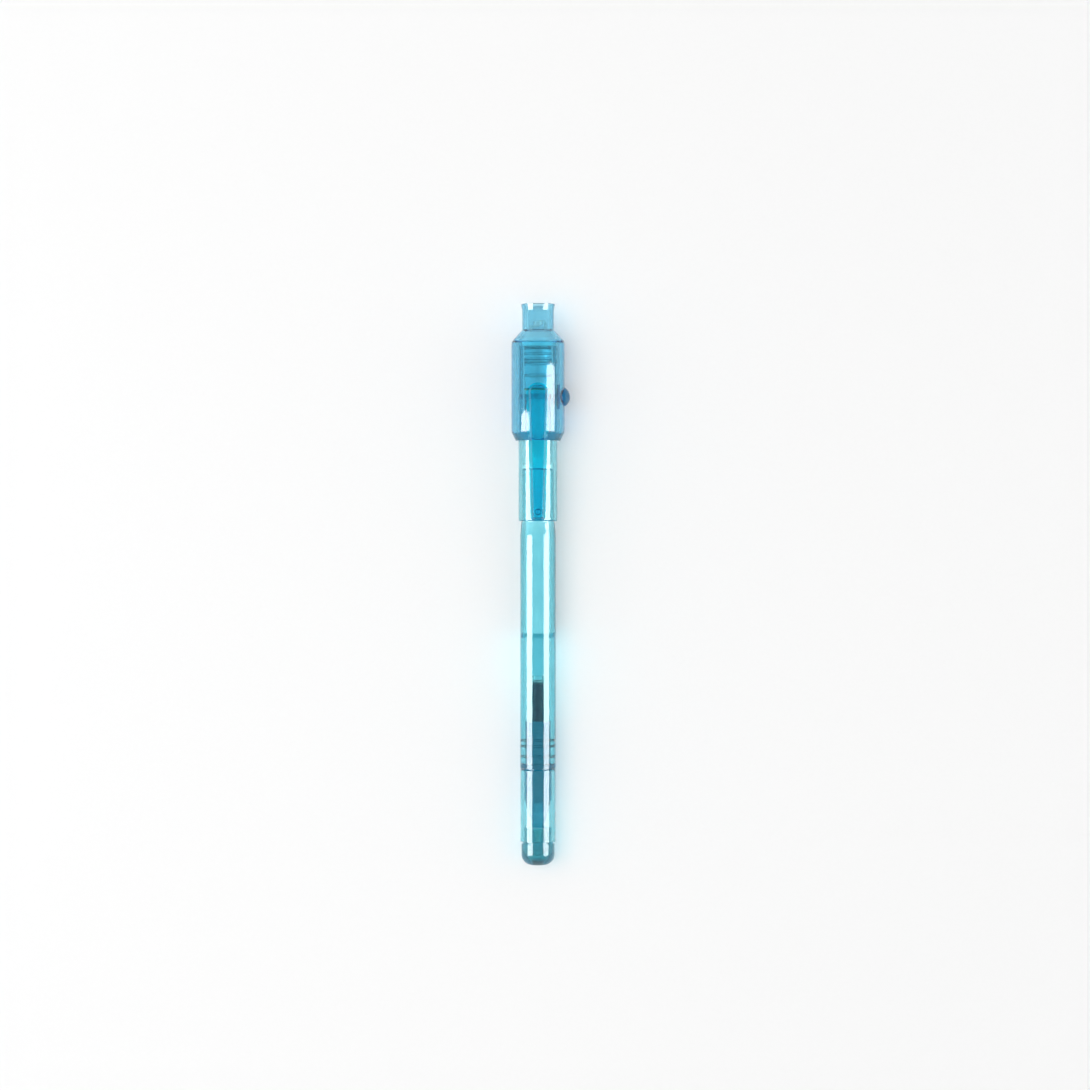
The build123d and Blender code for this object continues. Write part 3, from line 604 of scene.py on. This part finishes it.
# Rolling lines along the strip, 0.08 mm apart.
along = add(tree, "ShaderNodeMapping", None, {
    "Vector": place.outputs["Object"], "Scale": (1 / 0.0003, 1 / 0.006, 1 / 0.00008)})
rolled = add(tree, "ShaderNodeTexNoise", None, {
    "Vector": along.outputs[0], "Scale": 1.0, "Detail": 2.0})
gloss = add(tree, "ShaderNodeMapRange", None, {
    "Value": rolled.outputs["Fac"], "To Min": 0.18, "To Max": 0.42})
tone = add(tree, "ShaderNodeMix", {"data_type": "RGBA"}, {
    0: rolled.outputs["Fac"], 6: linear("#b98f3f"), 7: linear("#dcbc6e")})
lines = add(tree, "ShaderNodeBump", None, {
    "Height": rolled.outputs["Fac"], "Strength": 0.4, "Distance": 0.000005})
surface = add(tree, "ShaderNodeBsdfPrincipled", None, {
    "Base Color": tone.outputs[2], "Metallic": 1.0, "Roughness": gloss.outputs[0],
    "Normal": lines.outputs[0]})
add(tree, "ShaderNodeOutputMaterial", None, {"Surface": surface.outputs[0]})
dress(nodes["battery_contact"], brass)
dress(nodes["switch_leaf"], brass)

# ---- Diode -----------------------------------------------------------------------------------
# A 5 mm ultraviolet diode. Its chip sits in a bright cup at the end of one lead, a gold wire joins it
# to the other lead, and clear epoxy is cast round them with a domed front.

tinned, tree = empty_material("Tinned steel lead")
place = add(tree, "ShaderNodeTexCoord")
grain = add(tree, "ShaderNodeTexNoise", None, {
    "Vector": place.outputs["Object"], "Scale": 1 / 0.0002, "Detail": 3.0})
gloss = add(tree, "ShaderNodeMapRange", None, {
    "Value": grain.outputs["Fac"], "To Min": 0.1, "To Max": 0.3})
tone = add(tree, "ShaderNodeMix", {"data_type": "RGBA"}, {
    0: grain.outputs["Fac"], 6: linear("#dee1e4"), 7: linear("#f6f6f6")})
surface = add(tree, "ShaderNodeBsdfPrincipled", None, {
    "Base Color": tone.outputs[2], "Metallic": 1.0, "Roughness": gloss.outputs[0]})
add(tree, "ShaderNodeOutputMaterial", None, {"Surface": surface.outputs[0]})
dress(nodes["led_cathode_lead"], tinned)
dress(nodes["led_anode_lead"], tinned)

# The bead of solder that joins the longer lead's end to the switch leaf, flat against the leaf.
lead_end, leaf_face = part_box("led_anode_lead"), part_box("switch_leaf")[0].x
bead_radius, bead_height, lead_half = 0.00045, 0.0003, 0.00025
bead_shape = bmesh.new()
bmesh.ops.create_uvsphere(
    bead_shape, u_segments=32, v_segments=16, radius=bead_radius,
    matrix=Matrix.Translation((leaf_face, lead_end[0].y + lead_half, 0))
    @ Matrix.Diagonal((bead_height / bead_radius, 1, 1, 1)))
for corner in bead_shape.verts:
    corner.co.x = min(corner.co.x, leaf_face)
bmesh.ops.remove_doubles(bead_shape, verts=bead_shape.verts, dist=1e-7)
bmesh.ops.recalc_face_normals(bead_shape, faces=bead_shape.faces)
mesh = bpy.data.meshes.new("solder_bead")
bead_shape.to_mesh(mesh)
bead_shape.free()
mesh.shade_smooth()
mesh.set_sharp_from_angle(angle=math.radians(40))
bead = bpy.data.objects.new("solder_bead", mesh)
bpy.context.scene.collection.objects.link(bead)
dress(bead, tinned)
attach(bead, "light_cap")

die, tree = empty_material("Sawn nitride chip")
place = add(tree, "ShaderNodeTexCoord")
# The chip's metal grid, drawn as squares 0.13 mm wide.
grid = add(tree, "ShaderNodeTexChecker", None, {
    "Vector": place.outputs["Object"], "Color1": linear("#d9cf8f"), "Color2": linear("#b7ae86"),
    "Scale": 1 / 0.00013})
surface = add(tree, "ShaderNodeBsdfPrincipled", None, {
    "Base Color": grid.outputs["Color"], "Roughness": 0.3, "IOR": 2.3})
add(tree, "ShaderNodeOutputMaterial", None, {"Surface": surface.outputs[0]})
dress(nodes["led_chip"], die)

epoxy, tree = empty_material("Cast clear epoxy")
place = add(tree, "ShaderNodeTexCoord")
# The casting shell leaves a very slight orange peel, 0.5 mm across.
peel = add(tree, "ShaderNodeTexNoise", None, {
    "Vector": place.outputs["Object"], "Scale": 1 / 0.0005, "Detail": 1.0})
skin = add(tree, "ShaderNodeBump", None, {
    "Height": peel.outputs["Fac"], "Strength": 1.0, "Distance": 0.0000006})
gloss = add(tree, "ShaderNodeMapRange", None, {
    "Value": peel.outputs["Fac"], "To Min": 0.01, "To Max": 0.04})
surface = add(tree, "ShaderNodeBsdfPrincipled", None, {
    "Base Color": (1.0, 1.0, 1.0, 1.0), "Roughness": gloss.outputs[0], "IOR": 1.54,
    "Transmission Weight": 0.93, "Normal": skin.outputs[0]})
depth = add(tree, "ShaderNodeVolumeAbsorption", None, {"Color": linear("#e8f2f4"), "Density": 20.0})
add(tree, "ShaderNodeOutputMaterial", None, {
    "Surface": lit_through(tree, surface), "Volume": depth.outputs[0]})
# The casting has no inner walls round the leads, so they look set in it.
low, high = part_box("uv_led")
flange, flange_thickness, bulb = high.x, 0.001, 0.0025
dome = high.y - bulb
outline = [
    (0, low.y), (flange, low.y), (flange, low.y + flange_thickness), (bulb, low.y + flange_thickness)]
outline += [
    (bulb * math.cos(math.radians(a)), dome + bulb * math.sin(math.radians(a)))
    for a in range(0, 90, 5)]
lens = turned("led_lens", outline + [(0, high.y)], epoxy, "light_cap")
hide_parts("uv_led")

gold, tree = empty_material("Drawn gold wire")
place = add(tree, "ShaderNodeTexCoord")
grain = add(tree, "ShaderNodeTexNoise", None, {
    "Vector": place.outputs["Object"], "Scale": 1 / 0.0001, "Detail": 2.0})
gloss = add(tree, "ShaderNodeMapRange", None, {
    "Value": grain.outputs["Fac"], "To Min": 0.15, "To Max": 0.3})
surface = add(tree, "ShaderNodeBsdfPrincipled", None, {
    "Base Color": linear("#f2c25a"), "Metallic": 1.0, "Roughness": gloss.outputs[0]})
add(tree, "ShaderNodeOutputMaterial", None, {"Surface": surface.outputs[0]})
chip_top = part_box("led_chip")[1].y
post_low, post_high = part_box("led_anode_lead")
post = post_low.x + lead_half
hop = bpy.data.curves.new("bond_wire", "CURVE")
hop.dimensions = "3D"
# Real wire is 0.03 mm thick; it is drawn 0.06 mm thick so that it shows.
hop.bevel_depth = 0.00003
hop.bevel_resolution = 2
hop.use_fill_caps = True
run = hop.splines.new("NURBS")
stops = [(0, chip_top), (0.0001, chip_top + 0.0007), (post * 0.6, post_high.y + 0.0008),
         (post, post_high.y + 0.0004), (post, post_high.y)]
run.points.add(len(stops) - 1)
for point, (x, y) in zip(run.points, stops):
    point.co = (x, y, 0, 1)
run.order_u = 4
run.use_endpoint_u = True
rough_wire = bpy.data.objects.new("bond_wire_run", hop)
bpy.context.scene.collection.objects.link(rough_wire)
made = rough_wire.evaluated_get(bpy.context.evaluated_depsgraph_get())
wire = bpy.data.objects.new("bond_wire", bpy.data.meshes.new_from_object(made))
bpy.data.objects.remove(rough_wire)
bpy.context.scene.collection.objects.link(wire)
wire.data.materials.clear()
dress(wire, gold)
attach(wire, "light_cap")

# ---- Diode holder ----------------------------------------------------------------------------
# A white moulded seat that sits on the cells, centres the diode's flange in a shallow flared cup
# and has a slot for each lead.

dress(nodes["led_holder"], white_moulding)

# ---- Push button -----------------------------------------------------------------------------
# A small moulded button of a deeper blue, set in the side of the housing. It bends the leaf behind
# it onto the contact, and the leaf springs it back.

# Blue polystyrene: pigmented, so that only part of the light goes through, and polished by fingers.
button_blue, tree = empty_material("Pigmented blue polystyrene")
place = add(tree, "ShaderNodeTexCoord")
flow = add(tree, "ShaderNodeTexNoise", None, {
    "Vector": place.outputs["Object"], "Scale": 1 / 0.001, "Detail": 3.0, "Distortion": 0.8})
tone = add(tree, "ShaderNodeMix", {"data_type": "RGBA"}, {
    0: flow.outputs["Fac"], 6: linear("#0f6f9f"), 7: linear("#1f8fbd")})
gloss = add(tree, "ShaderNodeMapRange", None, {
    "Value": flow.outputs["Fac"], "To Min": 0.06, "To Max": 0.16})
surface = add(tree, "ShaderNodeBsdfPrincipled", None, {
    "Base Color": tone.outputs[2], "Roughness": gloss.outputs[0], "IOR": 1.59,
    "Transmission Weight": 0.3})
add(tree, "ShaderNodeOutputMaterial", None, {"Surface": surface.outputs[0]})
dress(nodes["push_button"], button_blue)

# ---- Light housing and clip ------------------------------------------------------------------
# One clear moulding in two shots: the aqua shell over the cells with the diode's collar and inner ribs
# that hold the sleeve, and the pocket clip down its front in a deeper blue. It is pressed on.

two_shot = clear_polystyrene("Two-shot clear polystyrene", tint="#91e5f3", per_metre=950.0)
tree = two_shot.node_tree
place = add(tree, "ShaderNodeTexCoord")
apart = add(tree, "ShaderNodeSeparateXYZ", None, {"Vector": place.outputs["Object"]})
# The taper at the foot of the bulge and the bevel at the clip's end get the painted deep-aqua rim tone
# too: they are below this station, and their normals lean at least this far towards the small cap.
taper_end, least_lean = 0.058, -0.38
facing = add(tree, "ShaderNodeSeparateXYZ", None, {"Vector": place.outputs["Normal"]})
down = add(tree, "ShaderNodeMath", {"operation": "LESS_THAN"}, {
    0: facing.outputs["Y"], 1: least_lean})
foot = add(tree, "ShaderNodeMath", {"operation": "LESS_THAN"}, {
    0: apart.outputs["Y"], 1: taper_end})
low_end = add(tree, "ShaderNodeMath", {"operation": "MULTIPLY"}, {
    0: down.outputs[0], 1: foot.outputs[0]})
painted_rim = tree.nodes["Painted rim"].outputs[0]
uses = [link.to_socket for link in painted_rim.links]
either = add(tree, "ShaderNodeMath", {"operation": "MAXIMUM"}, {0: painted_rim, 1: low_end.outputs[0]})
for use in uses:
    tree.links.new(either.outputs[0], use)
# The clip's own outline with a margin of 0.1 mm: 3.7 mm wide at its free end, 5.5 mm wide at its
# rounded root, and above the sleeve.
clip_tip, clip_root, clip_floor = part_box("light_housing")[0].y, 0.0673, 0.0048
tip_half, root_half, margin = 0.00185, 0.00275, 0.0001
half_width = add(tree, "ShaderNodeMapRange", None, {
    "Value": apart.outputs["Y"], "From Min": clip_tip, "From Max": clip_root,
    "To Min": tip_half + margin, "To Max": root_half + margin})
beyond = add(tree, "ShaderNodeMath", {"operation": "SUBTRACT"}, {
    0: apart.outputs["Y"], 1: clip_root - root_half})
beyond = add(tree, "ShaderNodeMath", {"operation": "MAXIMUM"}, {0: beyond.outputs[0], 1: 0.0})
flat = add(tree, "ShaderNodeCombineXYZ", None, {"X": apart.outputs["X"], "Y": beyond.outputs[0]})
reach = add(tree, "ShaderNodeVectorMath", {"operation": "LENGTH"}, {0: flat.outputs[0]})
inside = add(tree, "ShaderNodeMath", {"operation": "LESS_THAN"}, {
    0: reach.outputs["Value"], 1: half_width.outputs[0]})
above = add(tree, "ShaderNodeMath", {"operation": "GREATER_THAN"}, {
    0: apart.outputs["Z"], 1: clip_floor})
second_shot = add(tree, "ShaderNodeMath", {"operation": "MULTIPLY"}, {
    0: inside.outputs[0], 1: above.outputs[0]})
# The clip's colour stays off the rims and their painted deep-aqua tone.
second_shot = add(tree, "ShaderNodeMath", {"operation": "SUBTRACT", "use_clamp": True}, {
    0: second_shot.outputs[0], 1: either.outputs[0]})
skin_colour = tree.nodes["Principled BSDF"].inputs["Base Color"]
tone = add(tree, "ShaderNodeMix", {"data_type": "RGBA"}, {
    0: second_shot.outputs[0], 6: skin_colour.links[0].from_socket, 7: linear("#27faff")})
tree.links.new(tone.outputs[2], skin_colour)
dress(nodes["light_housing"], two_shot)

# ---- Floor, light and camera -----------------------------------------------------------------
# The pen lies on the bulge and on the small cap, so the floor runs under those two, 1.3 degrees off
# level. Two long strips give the pen its pair of bright lines, and three large softboxes light it.


def seen_straight(tree):
    """1 for a ray that was only mirrored or let through clear pieces since the eye, or else 0."""
    ray = add(tree, "ShaderNodeLightPath").outputs
    seen = add(tree, "ShaderNodeMath", {"operation": "MAXIMUM"}, {
        0: ray["Is Camera Ray"], 1: ray["Is Glossy Ray"]})
    seen = add(tree, "ShaderNodeMath", {"operation": "MAXIMUM"}, {
        0: seen.outputs[0], 1: ray["Is Transmission Ray"]})
    # A ray that has left a dull surface carries light, so it gets a thing as it is lit and no glow.
    straight = add(tree, "ShaderNodeMath", {"operation": "LESS_THAN"}, {
        0: ray["Diffuse Depth"], 1: 0.5})
    seen = add(tree, "ShaderNodeMath", {"operation": "MULTIPLY"}, {
        0: seen.outputs[0], 1: straight.outputs[0]})
    return seen.outputs[0]


rest_high, rest_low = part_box("light_housing")[0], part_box("bottom_cap")[0]
bulge_foot = 0.0554
slope = (rest_high.z - rest_low.z) / (bulge_foot - rest_low.y)
floor_reach, clearance = 2.0, 0.00002
rows = [
    (floor_reach, rest_low.z + slope * (floor_reach - rest_low.y)),
    (rest_low.y, rest_low.z), (-floor_reach, rest_low.z)]
points = [(x, y, z - clearance) for y, z in rows for x in (-floor_reach, floor_reach)]
ground = bpy.data.meshes.new("floor")
ground.from_pydata(points, [], [(0, 2, 3, 1), (2, 4, 5, 3)])
floor = bpy.data.objects.new("floor", ground)
bpy.context.scene.collection.objects.link(floor)
paper, tree = empty_material("White paper sweep")
place = add(tree, "ShaderNodeTexCoord")
tooth = add(tree, "ShaderNodeTexNoise", None, {
    "Vector": place.outputs["Object"], "Scale": 1 / 0.0008, "Detail": 3.0})
tone = add(tree, "ShaderNodeMix", {"data_type": "RGBA"}, {
    0: tooth.outputs["Fac"], 6: linear("#f8f8f8"), 7: linear("#fbfbfb")})
surface = add(tree, "ShaderNodeBsdfDiffuse", None, {"Color": tone.outputs[2]})
glow = add(tree, "ShaderNodeEmission", None, {"Color": (1.0, 1.0, 1.0, 1.0), "Strength": 1.0})
# Away from the pen the paper goes over to plain white, the same as the room behind it.
away = add(tree, "ShaderNodeVectorMath", {"operation": "LENGTH"}, {0: place.outputs["Object"]})
fade = add(tree, "ShaderNodeMapRange", {"interpolation_type": "SMOOTHSTEP"}, {
    "Value": away.outputs["Value"], "From Min": 0.1, "From Max": 0.5, "To Min": 0.2, "To Max": 1.0})
part_glow = add(tree, "ShaderNodeMath", {"operation": "MULTIPLY"}, {
    0: seen_straight(tree), 1: fade.outputs[0]})
lit = add(tree, "ShaderNodeMixShader", None, {
    0: part_glow.outputs[0], 1: surface.outputs[0], 2: glow.outputs[0]})
add(tree, "ShaderNodeOutputMaterial", None, {"Surface": lit.outputs[0]})
dress(floor, paper)

scene = bpy.context.scene
scene.view_settings.view_transform = "Standard"
scene.cycles.caustics_reflective = False
scene.cycles.caustics_refractive = True
scene.cycles.max_bounces = 36
scene.cycles.transmission_bounces = 32
scene.cycles.glossy_bounces = 16
scene.cycles.transparent_max_bounces = 48

studio = bpy.data.worlds.new("studio")
scene.world = studio
studio.use_nodes = True
tree = studio.node_tree
tree.nodes.clear()
fill = add(tree, "ShaderNodeBackground", None, {"Color": (1.0, 1.0, 1.0, 1.0), "Strength": 0.45})
# The room is white all round and darker towards its ceiling, but less so through the clear walls, so
# that the metal inside them has something bright to reflect.
place = add(tree, "ShaderNodeTexCoord")
apart = add(tree, "ShaderNodeSeparateXYZ", None, {"Vector": place.outputs["Generated"]})
ray = add(tree, "ShaderNodeLightPath")
ceiling = add(tree, "ShaderNodeMapRange", None, {
    "Value": ray.outputs["Is Transmission Ray"], "To Min": 0.2, "To Max": 0.75})
dimmer = add(tree, "ShaderNodeMapRange", None, {
    "Value": apart.outputs["Z"], "From Min": 0.1, "From Max": 0.8, "To Min": 1.0,
    "To Max": ceiling.outputs[0]})
white = add(tree, "ShaderNodeBackground", None, {
    "Color": (1.0, 1.0, 1.0, 1.0), "Strength": dimmer.outputs[0]})
either = add(tree, "ShaderNodeMixShader", None, {
    0: seen_straight(tree), 1: fill.outputs[0], 2: white.outputs[0]})
add(tree, "ShaderNodeOutputWorld", None, {"Surface": either.outputs[0]})

pen_middle = (cad_box[0] + cad_box[1]) / 2


def softbox(name, lean, distance, width, ends, watts):
    """A rectangular lamp between two stations, leaned over to +X by so many degrees from overhead."""
    lamp = bpy.data.lights.new(name, "AREA")
    lamp.shape = "RECTANGLE"
    lamp.size = width
    lamp.size_y = ends[1] - ends[0]
    lamp.energy = watts
    stand = bpy.data.objects.new(name, lamp)
    stand.matrix_world = (
        Matrix.Translation((0, sum(ends) / 2, 0)) @ Matrix.Rotation(math.radians(lean), 4, "Y")
        @ Matrix.Translation((0, 0, distance)))
    scene.collection.objects.link(stand)
    stand.visible_camera = False
    return stand


# The strips only gleam. The large softboxes only light, and their light is sampled straight from each
# lamp, because that is what reaches the pieces inside the clear walls.
for side, upper_end in ((-1, 0.082), (1, 0.102)):
    strip = softbox(
        "side_strip", lean=side * 57.5, distance=0.5, width=0.354, ends=(-0.15, upper_end), watts=3.2)
    strip.visible_diffuse = False
    strip.visible_transmission = False
for lean, distance, watts in ((-20, 1.1, 6.3), (-60, 0.9, 1.7), (60, 0.9, 1.7)):
    large = softbox("large_softbox", lean, distance, width=0.9, ends=(-0.43, 0.47), watts=watts)
    large.visible_glossy = False
    large.visible_transmission = False
    large.data.cycles.use_multiple_importance_sampling = False

# The camera looks straight down on the pen, as far off as a long lens stands. The pen's middle is at
# this place in a square picture, in pixels from the upper left corner.
picture, pixels_per_metre = 1090, 3940
pen_across, pen_down = 538, 584.6
lens_length, sensor = 100.0, 36.0
eye = bpy.data.cameras.new("camera")
eye.lens = lens_length
eye.sensor_width = sensor
camera = bpy.data.objects.new("camera", eye)
camera.location = (
    (picture / 2 - pen_across) / pixels_per_metre,
    pen_middle.y + (pen_down - picture / 2) / pixels_per_metre,
    picture / pixels_per_metre * lens_length / sensor)
scene.collection.objects.link(camera)
scene.camera = camera
